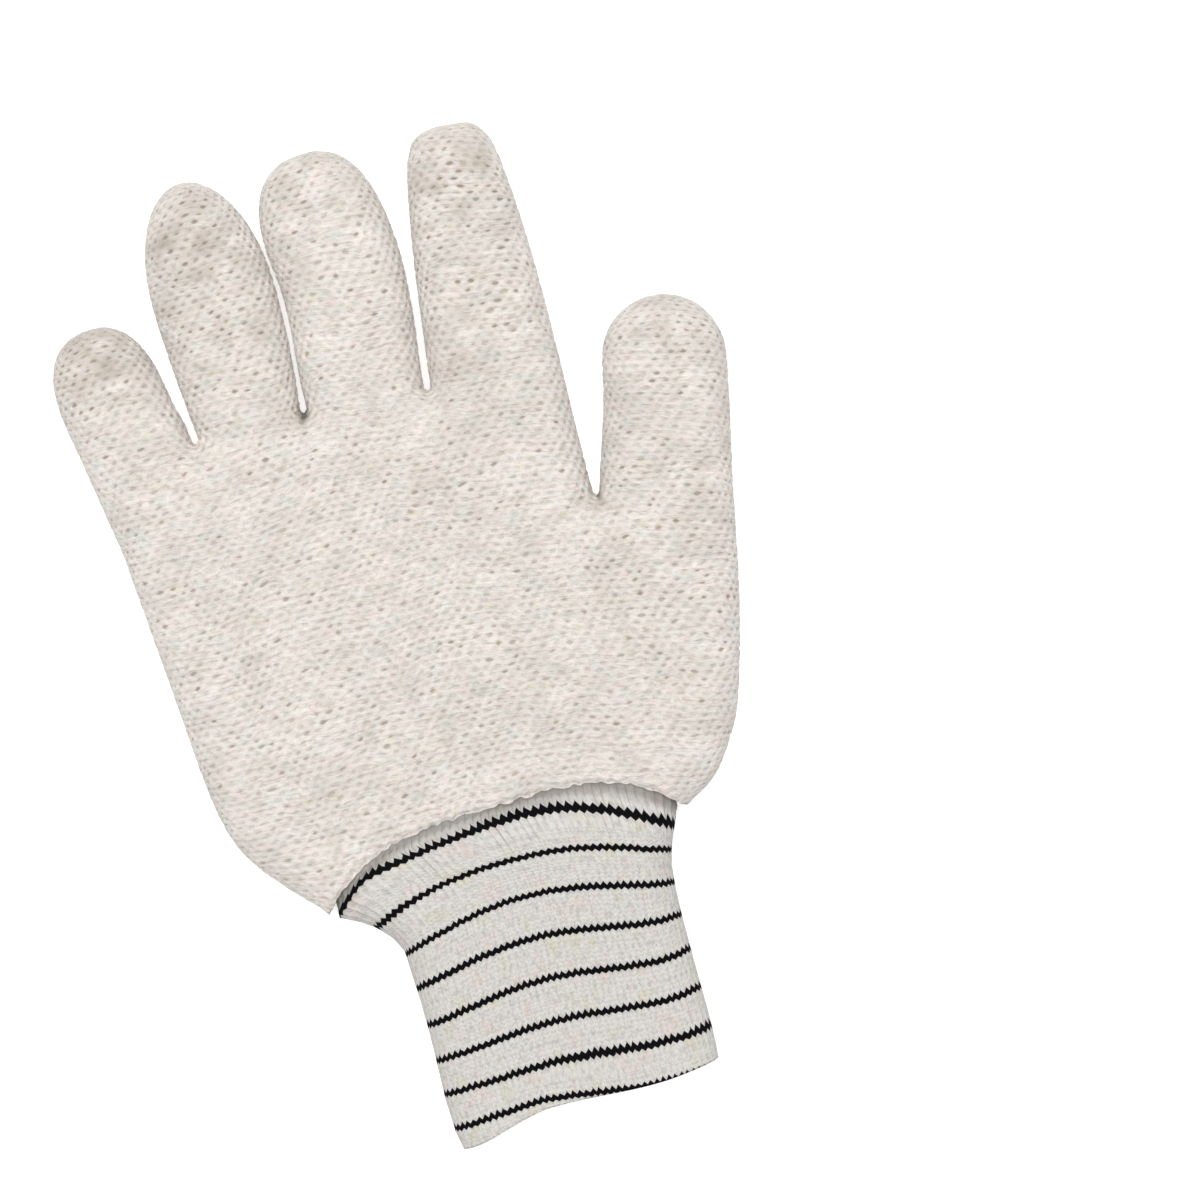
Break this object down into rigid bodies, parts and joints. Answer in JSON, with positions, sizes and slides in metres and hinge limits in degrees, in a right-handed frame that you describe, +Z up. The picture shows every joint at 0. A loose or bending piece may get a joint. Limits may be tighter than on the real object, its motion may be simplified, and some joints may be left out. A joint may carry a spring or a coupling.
{
  "type": "cotton work glove",
  "caption": "Loop-out cotton terry work glove with straight fingers and thumb and a striped rib-knit wrist, lying flat with its palm down.",
  "frame": {"origin": "under the middle of the glove's box, on the surface that it lies on", "axes": "+Z up, away from the palm; +Y from the wrist to the fingertips; +X towards the thumb"},
  "size_m": [0.182, 0.2774, 0.0168],
  "materials": {
    "terry_cotton": "natural cream loop-out cotton terry knit, matt",
    "rib_knit": "light grey-beige fine rib knit with thin black stripes, matt"
  },
  "bodies": {
    "root": {"back_panel": "terry_cotton", "palm_panel": "terry_cotton", "rib_cuff": "rib_knit"}
  },
  "joints": []
}
